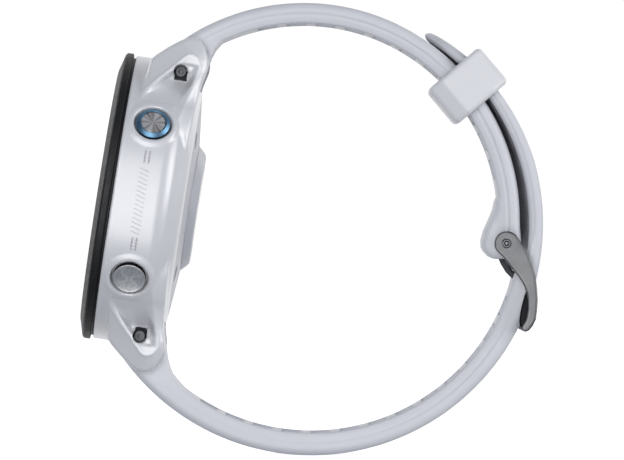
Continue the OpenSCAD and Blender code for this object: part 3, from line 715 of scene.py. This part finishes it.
def screw(name, place, z0, zh, zt, rs, rh, body, mat, replaces=(), slot=None, hexr=0.5, hexd=0.3):
    """A small screw: threaded shank and a domed head with a star recess."""
    prof = [(0, z0)]
    k = int((zh - z0) / 0.25)
    for i in range(k):
        z = z0 + (zh - z0) * i / k
        prof += [(rs * 0.86, z + 0.01), (rs, z + 0.12), (rs * 0.86, z + 0.23)]
    prof += [(rs * 0.86, zh), (rh - 0.06, zh), (rh, zh + 0.06), (rh, zt - 0.12), (rh - 0.12, zt), (hexr + 0.05, zt), (hexr, zt - 0.04), (hexr, zt - hexd), (0, zt - hexd - 0.1)]
    A, F = lathe(prof, 48)
    # star recess: pull the recess wall in between six lobes
    for i in range(len(A)):
        x, yv, z = A[i]
        r = math.hypot(x, yv)
        if z > zt - hexd - 0.02 and abs(r - hexr) < 0.06:
            s = 1 - 0.16 * (0.5 + 0.5 * math.cos(6 * math.atan2(yv, x)))
            A[i] = (x * s, yv * s, z)
    return A, F


AV, AF = [], []
for i in range(4):
    A, F = screw("", None, 8.7, 11.02, 11.42, 0.57, 1.25, "case", PINSTEEL)
    a = math.radians(45 + 90 * i)
    b = len(AV)
    AV += [(x + 15.2 * math.cos(a), yv + 15.2 * math.sin(a), z) for (x, yv, z) in A]
    AF += [[v + b for v in f] for f in F]
build("back_screw_set", through_dial(np.array(AV)), AF, "case", PINSTEEL, ["back_screws"], sharp=35)

# ---------------------------------------------------------------- buttons
def dark_sides(ob, z, mat):
    """The outer wall below z gets a second material."""
    ob.data.materials.append(mat)
    for p in ob.data.polygons:
        if p.center.z < z * MM and math.hypot(p.center.x, p.center.y) > 2.2 * MM:
            p.material_index = 1


def cap_profile(top, r=2.6, dish=0.06, rin=2.38):
    return [(0, 18.05), (0.6, 18.05), (0.6, 18.9), (0.9, 18.95), (0.9, 22.2), (r - 0.1, 22.2), (r, 22.3), (r, top - 0.06), (r - 0.02, top - 0.02), (r - 0.06, top),
            (rin + 0.1, top), (rin, top - 0.03), (rin - 0.08, top - dish), (0, top - dish)]


for key, a in BTN.items():
    if key == "start":
        continue
    A, F = lathe(cap_profile(23.15 if key == "back" else 23.1), 128)
    build(key + "_cap", A, F, key, TURNED2, [key + "_button"], place=btn_matrix(a), sharp=35)
    dark_sides(bpy.data.objects[key + "_cap"], 23.03, BLACK)
A, F = lathe([(0, 18.05), (0.6, 18.05), (0.6, 18.9), (0.9, 18.95), (0.9, 22.2), (1.95, 22.2), (1.95, 23.16), (1.88, 23.23), (0, 23.23)], 128)
build("start_cap", A, F, "start", TURNED, ["start_button"], place=btn_matrix(BTN["start"]), sharp=35)
prof = rounded([(2.01, 22.3), (2.66, 22.3), (2.75, 22.45), (2.75, 22.88), (2.66, 22.98), (2.14, 23.35), (2.01, 23.3), (2.01, 22.3)], 0.05)
A, F = lathe(prof + [prof[0]] if prof[0] != prof[-1] else prof, 128)
build("start_collar", A, F, "start", BLUE, ["start_ring"], place=btn_matrix(BTN["start"]), sharp=35)
dark_sides(bpy.data.objects["start_collar"], 22.86, NAVY)

# ---------------------------------------------------------------- straps
def polar(c):
    def warp(th, y, r):
        t = np.radians(th)
        X = c[0] + r * np.cos(t)
        Z = c[1] + r * np.sin(t)
        return X, y + 0 * X, Z
    return warp


LONG = (arc(CL, 37.096, 212.3, 375, 100) + arc(CL, 37.096, 377, 416, 24, 36.35) + [pol(CL, 36.25, 419), pol(CL, 36.1, 423), pol(CL, 35.15, 423), pol(CL, 34.95, 419)]
        + arc(CL, 34.8, 414, 354, 40) + [pol(CL, 34.5, 351.5), pol(CL, 33.9, 348), pol(CL, 33.6, 346)] + arc(CL, 33.5, 344, 232, 80)
        + [(-21.9, 12.2), (-22.5, 13), (-22.95, 14.2), (-23.25, 15.4), (-23.45, 17), (-23.6, 18.4), loc(10.9, 18.95), loc(4.1, 18.95), loc(4.1, 22.9)])
HOLE_STEP = math.degrees(4.7 / 35.3)
PITCH_L = math.degrees(4.7 / 33.5)
PITCH_U = math.degrees(4.7 / 31.3)
TIP0 = math.radians(41.4)


def around(th, first, step, count):
    """Angle in degrees from the nearest of count evenly spaced stations."""
    k = np.clip(np.round((th - first) / step), 0, count - 1)
    return th - (first + k * step)


def edge_round(r, mid, outer, inner):
    return inner + (outer - inner) * step01((r - mid + 0.15) / 0.3)


def long_field(X, y, Z):
    dx, dz = X - CL[0], Z - CL[1]
    r0 = np.hypot(dx, dz)
    th = np.degrees(np.arctan2(dz, dx))
    th = np.where(th < -160, th + 360, th)          # -160 .. 200
    # the free tail lies a little over towards the layer below at its far edge
    tr = np.radians(np.clip(th, -20, 60))
    lean = (0.12 + 1.24 * np.cos(tr) - 0.78 * np.sin(tr)) * step01((th + 18) / 20) * step01((y - 1) / 9.5) * (th < 100)
    r = r0 + lean
    t = np.radians(th)
    Xn, Zn = CL[0] + r * np.cos(t), CL[1] + r * np.sin(t)
    d = poly(LONG, Xn, Zn)
    ay = np.abs(y)
    s = (t - TIP0) * 35.4
    mid = 35.4 + 0.45 * step01((th + 8) / 8) * (th < 100)
    side = np.where((s > 0) & (th < 100), np.hypot(np.maximum(s, 0), ay) - 11.0, ay - 11.0) + 0.25 * np.maximum(mid - 0.45 - r, 0)
    tail = step01((th + 8) / 8) * (th < 100)
    rnd = edge_round(r, 35.4 + 0.4 * tail, 1.35 - 0.25 * tail, 0.4 + 0.6 * tail)
    f = rmax(d, side, rnd)
    # fine parting groove along the side face
    g = np.hypot((r - (34.95 + 0.65 * tail)), ay - 11.03) - 0.2
    f = np.where(th > 100, f, cut(f, g, 0.05))
    lr = th
    tau = np.radians(around(lr, -15.4 - 5 * HOLE_STEP, HOLE_STEP, 14)) * r
    hole = np.hypot(np.maximum(np.abs(tau) - 0.7, 0), y) - 1.2
    f = cut(f, hole, 0.25)
    tau = np.radians(around(th, 240.3 - 360, PITCH_L, 13)) * r
    pocket = rmax(rmax(np.abs(tau) - 1.55, ay - 9.4, 0.6), r - 34.2, 0.2)
    f = cut(f, pocket, 0.2)
    return f


def long_warp(th, y, r):
    return polar(CL)(th, y, r)


V, Q = skin(long_field, (-161.5, -11.5, 28.6), (62.5, 11.5, 37.7), (0.48, 0.3, 0.27), warp=long_warp)
build("strap_long", V, Q, "case", SILICONE, ["strap_lower"])

SHORT = (arc(CU, 34.6, 131.5, 0, 90) + [(33.4, 36.5), (33.6, 34.2), (33.3, 33.2), (32.4, 32.1), (31.2, 31.5), (29.4, 31.45), (28.5, 31.85), (27.75, 32.6), (27.35, 33.4), (27.35, 34.5),
         (27.75, 36), (28.55, 37.75), (29.2, 39.35), (29.6, 41)] + arc(CU, 31.3, 6.5, 115, 70)
         + [(-15.4, 65.2), (-16, 64.1), (-16.6, 62.7), (-17.2, 60.9), (-17.75, 59.4), loc(10.9, -18.95), loc(4.1, -18.95), loc(4.1, -22.9)])


def short_field(X, y, Z):
    d = poly(SHORT, X, Z)
    dx, dz = X - CU[0], Z - CU[1]
    r = np.hypot(dx, dz)
    th = np.degrees(np.arctan2(dz, dx))
    ay = np.abs(y)
    inner_round = 0.4 + 0.75 * (1 - step01((th - 1) / 9))
    f = rmax(d, ay - 11.0 + 0.27 * np.clip(32.75 - r, 0, 2), np.where(r > 33.1, 1.3, inner_round))
    g = np.hypot(r - 32.75, ay - 11.03) - 0.2
    f = cut(f, g, 0.05)
    f = cut(f, rmax(ay - 1.25, np.maximum(Z - 36.4, 26 - X), 0.2), 0.2)
    tau = np.radians(around(th, 14.7, PITCH_U, 11)) * r
    pocket = rmax(rmax(np.abs(tau) - 1.55, ay - 9.4, 0.6), r - 32.0, 0.2)
    return cut(f, pocket, 0.2)


V, Q = skin(short_field, (-17.5, -11.5, 25.6), (140, 11.5, 35.2), (0.5, 0.3, 0.27), warp=polar(CU))
build("strap_short", V, Q, "case", SILICONE, ["strap_upper"])

# ---------------------------------------------------------------- keeper
def keeper_field(x, y, z):
    ax, ay = np.abs(x - 33.6), np.abs(y)
    q = rmax(rmax(ax - 5.4, (ax - 2.7) * 0.46 + (ay - 13.0) * 0.888, 0.9), ay - 13.0, 0.12)
    f = rmax(q, np.abs(z) - 3.65, 0.85)
    hole = rmax(np.abs(x - 34.1) - 3.65, np.abs(y) - 11.4, 0.9)
    return cut(f, hole, 0.35)


V, Q = skin(keeper_field, (27.9, -13.3, -3.95), (39.3, 13.3, 3.95), (0.2, 0.2, 0.2))
a = math.radians(40.2)
K = np.stack([CM[0] + V[:, 0] * math.cos(a) - V[:, 2] * math.sin(a), V[:, 1], CM[1] + V[:, 0] * math.sin(a) + V[:, 2] * math.cos(a)], 1)
build("keeper_loop", K, Q[:, ::-1], "keeper", KEEPER, ["keeper"])

# ---------------------------------------------------------------- buckle
ARM = [(29.5, 33.3), (30.56, 31.83), (31.36, 30.87), (32.16, 29.76), (33.1, 28.64), (33.9, 27.36), (34.4, 26.1), (34.55, 25), (34.55, 23.4), (34.25, 21.8), (33.5, 20.5),
       (33.7, 20), (34.25, 19.82), (34.8, 20.1), (35.35, 20.8), (35.85, 21.8), (36.05, 23.4), (36.15, 25), (36.05, 26.6), (35.85, 28.6), (35.35, 30.2), (34.85, 31.7), (34.05, 33.3), (33.2, 34.4), (32.5, 35.3)]
BAR = pol(CL, 38.05, -24.6)
# a thin lip inside each arm, given the near-black material as painted shade
LIP = [(34.6, 27.2), (34.05, 25.6), (33.65, 24.2), (33.35, 22.8), (33.2, 21.5), (33.3, 20.7), (33.7, 20.2), (34.3, 20.2), (34.9, 22), (35, 25)]


def frame_field(X, y, Z):
    ay = np.abs(y)
    arm = rmin(poly(ARM, X, Z), np.hypot(X - PIN[0], Z - PIN[1]) - 1.95, 0.3)
    outer = rmax(arm, ay - 13.3, 0.3)
    arm3 = rmax(outer, 11.3 - ay, 0.2)
    bar = rmax(np.hypot(X - BAR[0], Z - BAR[1]) - 0.8, ay - 12.2, 0.1)
    lip = rmax(rmax(poly(LIP, X, Z), ay - 12.6, 0.35), 11.3 - ay, 0.15)
    f = rmin(np.minimum(arm3, lip), bar, 0.25)
    f = cut(f, np.hypot(X - PIN[0], Z - PIN[1]) - 0.65, 0.06)
    ux, uz = math.cos(math.radians(-24.6)), math.sin(math.radians(-24.6))
    rad = (X - CL[0]) * ux + (Z - CL[1]) * uz
    return cut(f, rmax(38.05 - rad, ay - 1.3, 0.1), 0.1)


V, Q = skin(frame_field, (29.0, -13.6, 19.5), (36.5, 13.6, 36.3), (0.14, 0.14, 0.14))
loop = build("buckle_loop", V, Q, "frame", [STEEL, LIP_PAINTED_SHADE], ["buckle_frame"])
# painted shade: the lip's inner faces get the near-black second material
for p in loop.data.polygons:
    c = p.center / MM
    if abs(c.y) < 12.75 and abs(c.y) > 11.2 and p.normal.y * c.y > -0.5 * abs(c.y) and float(poly(ARM, np.array([c.x]), np.array([c.z]))[0]) > -0.25 and c.z < 27.5 and float(poly(LIP, np.array([c.x]), np.array([c.z]))[0]) < 0.3:
        p.material_index = 1

TONGUE = [(29.75, 34), (29.9, 32), (30.5, 30.6), (31.3, 29.3), pol(CL, 33.6, -15.4), pol(CL, 37.15, -17.6), pol(CL, 37.55, -19), pol(CL, 38.1, -22.6), pol(CL, 38.1, -25.8),
          pol(CL, 38.4, -26), pol(CL, 38.75, -25.5), pol(CL, 38.8, -23.6), pol(CL, 38.5, -21.2), pol(CL, 38.1, -18.8), pol(CL, 37.6, -16.8), pol(CL, 36.9, -15.3), pol(CL, 34.2, -13.6),
          pol(CL, 33.1, -13), (31.95, 31), (31.6, 32.4), (32.2, 33.4)]


def tongue_field(X, y, Z):
    ay = np.abs(y)
    q = rmin(poly(TONGUE, X, Z), np.hypot(X - PIN[0], Z - PIN[1]) - 1.5, 0.2)
    f = rmax(q, ay - 0.9, 0.22)
    return cut(f, np.hypot(X - PIN[0], Z - PIN[1]) - 0.65, 0.06)


V, Q = skin(tongue_field, (29.2, -1.2, 19.6), (37.3, 1.2, 35.8), (0.12, 0.12, 0.12))
build("tongue_bar", V, Q, "tongue", DARKSTEEL, ["buckle_tongue"])

PINM = Matrix(((1, 0, 0, PIN[0]), (0, 0, 1, 0), (0, -1, 0, PIN[1]), (0, 0, 0, 1)))
A, F = lathe([(0, -13.27), (0.22, -13.27), (0.29, -13.22), (0.33, -13.1), (0.42, -13.1), (0.47, -13.2), (0.56, -13.2), (0.6, -13.1), (0.6, 13.1), (0.56, 13.2), (0.47, 13.2), (0.42, 13.1), (0.33, 13.1), (0.29, 13.22), (0.22, 13.27), (0, 13.27)], 64)
build("hinge_pin", A, F, "case", PINSTEEL, ["buckle_pin"], place=PINM, sharp=50)
pin_ob = bpy.data.objects["hinge_pin"]
# painted shadow: the groove at each pin end gets the near-black shadow material
pin_ob.data.materials.append(HOLE)
for p in pin_ob.data.polygons:
    if 0.28 * MM < math.hypot(p.center.x, p.center.y) < 0.46 * MM and abs(p.center.z) > 12 * MM:
        p.material_index = 1

# ---------------------------------------------------------------- lug screws
AV, AF = [], []
for s in (-1, 1):
    for m in (-1, 1):
        A, F = screw("", None, 9.4, 11.95, 12.45, 0.43, 0.9, "case", DARKSTEEL, hexr=0.42, hexd=0.25)
        b = len(AV)
        AV += [(x + s * LUG_W, m * z, yv * m + LUG_U) for (x, yv, z) in A]
        AF += [[v + b for v in (f if m < 0 else f[::-1])] for f in F]
build("lug_screw_set", through_dial(np.array(AV)), AF, "case", SCREW, ["lug_screws"], sharp=35)

# ---------------------------------------------------------------- carried-over CAD nodes
KEEP = {"lens_gasket": SEAL, "display_panel": SCREEN, "display_frame": BLACK, "main_board": BOARD, "board_chips": PINSTEEL, "gps_antenna": GOLD, "battery": FOIL,
        "motor_can": PINSTEEL, "motor_shaft": PINSTEEL, "motor_rotor": DARKSTEEL, "buzzer": GOLD, "back_seal": SEAL, "charge_contacts": GOLD, "sensor_board": BOARD,
        "sensor_leds": LED, "start_clip": PINSTEEL, "back_clip": PINSTEEL, "light_clip": PINSTEEL, "up_clip": PINSTEEL, "down_clip": PINSTEEL, "button_seals": SEAL,
        "tact_switches": BLACK, "lug_pin_upper": PINSTEEL, "lug_pin_lower": PINSTEEL}
for node, mat in KEEP.items():
    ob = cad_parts[node]
    for sl in ob.material_slots:
        sl.material = mat
    if not ob.material_slots:
        ob.data.materials.append(mat)

# ---------------------------------------------------------------- floor, light, camera
sc = bpy.context.scene


def sheet_mesh(name, pts, faces, mat):
    me = bpy.data.meshes.new(name)
    me.from_pydata(pts, [], faces)
    me.materials.append(mat)
    ob = bpy.data.objects.new(name, me)
    sc.collection.objects.link(ob)
    return ob


FLOOR, ft, fp = material("floor_white")
fv = coords(ft)
fc = ramp(ft, noise(ft, fv, 8, 2), [(0.3, (0.86, 0.86, 0.86)), (0.7, (0.87, 0.87, 0.87))])
ft.links.new(fc, fp.inputs["Base Color"])
ft.links.new(fc, fp.inputs["Emission Color"])
fp.inputs["Emission Strength"].default_value = 0.85
fp.inputs["Roughness"].default_value = 0.9
fp.inputs["Specular IOR Level"].default_value = 0.1
z0 = -0.00002
floor = sheet_mesh("floor", [(-30, -30, z0), (30, -30, z0), (30, 30, z0), (-30, 30, z0)], [(0, 1, 2, 3)], FLOOR)
floor.visible_diffuse = False
floor.visible_glossy = False
floor.visible_shadow = False

world = bpy.data.worlds.new("studio")
sc.world = world
world.use_nodes = True
wt = world.node_tree
bg = next(n for n in wt.nodes if n.type == "BACKGROUND")
wc = wt.nodes.new("ShaderNodeTexCoord")
ws = wt.nodes.new("ShaderNodeSeparateXYZ")
wt.links.new(wc.outputs["Generated"], ws.inputs["Vector"])
wt.links.new(ramp(wt, spread(wt, ws.outputs["Y"], 0, 1, -1, 1), [(0.50, (0.165, 0.18, 0.22)), (0.74, (0.40, 0.41, 0.43)), (0.93, (1.06, 1.06, 1.06))]), bg.inputs["Color"])
bg.inputs["Strength"].default_value = 1.0


def area(name, pos, aim, size, level, col=(1, 1, 1)):
    """A soft box of a given brightness."""
    li = bpy.data.lights.new(name, "AREA")
    li.shape = "RECTANGLE"
    li.size, li.size_y = size
    li.energy = level * math.pi * size[0] * size[1]
    li.color = col
    ob = bpy.data.objects.new(name, li)
    ob.location = pos
    ob.rotation_euler = (Vector(aim) - Vector(pos)).to_track_quat("-Z", "Y").to_euler()
    sc.collection.objects.link(ob)
    return ob


area("front_box", (-0.28, -1.62, 0.10), (0, 0, 0.04), (0.85, 2.3), 3.4)
area("right_box", (1.45, -0.55, 0.3), (0, 0, 0.04), (0.9, 1.0), 3.9)
area("back_box", (1.2, 1.2, 0.7), (0, 0, 0.04), (0.9, 0.9), 1.8)
area("left_box", (-1.3, 0.7, 0.5), (0, 0, 0.04), (0.9, 0.9), 2.4)

cam = bpy.data.cameras.new("camera")
cam.sensor_width = 36
cam.lens = 537
cam.clip_end = 20
cam_ob = bpy.data.objects.new("camera", cam)
cam_ob.location = (0.00008, -1.5, 0.0361)
cam_ob.rotation_euler = (math.pi / 2, 0, 0)
sc.collection.objects.link(cam_ob)
sc.camera = cam_ob
sc.view_settings.view_transform = "Standard"
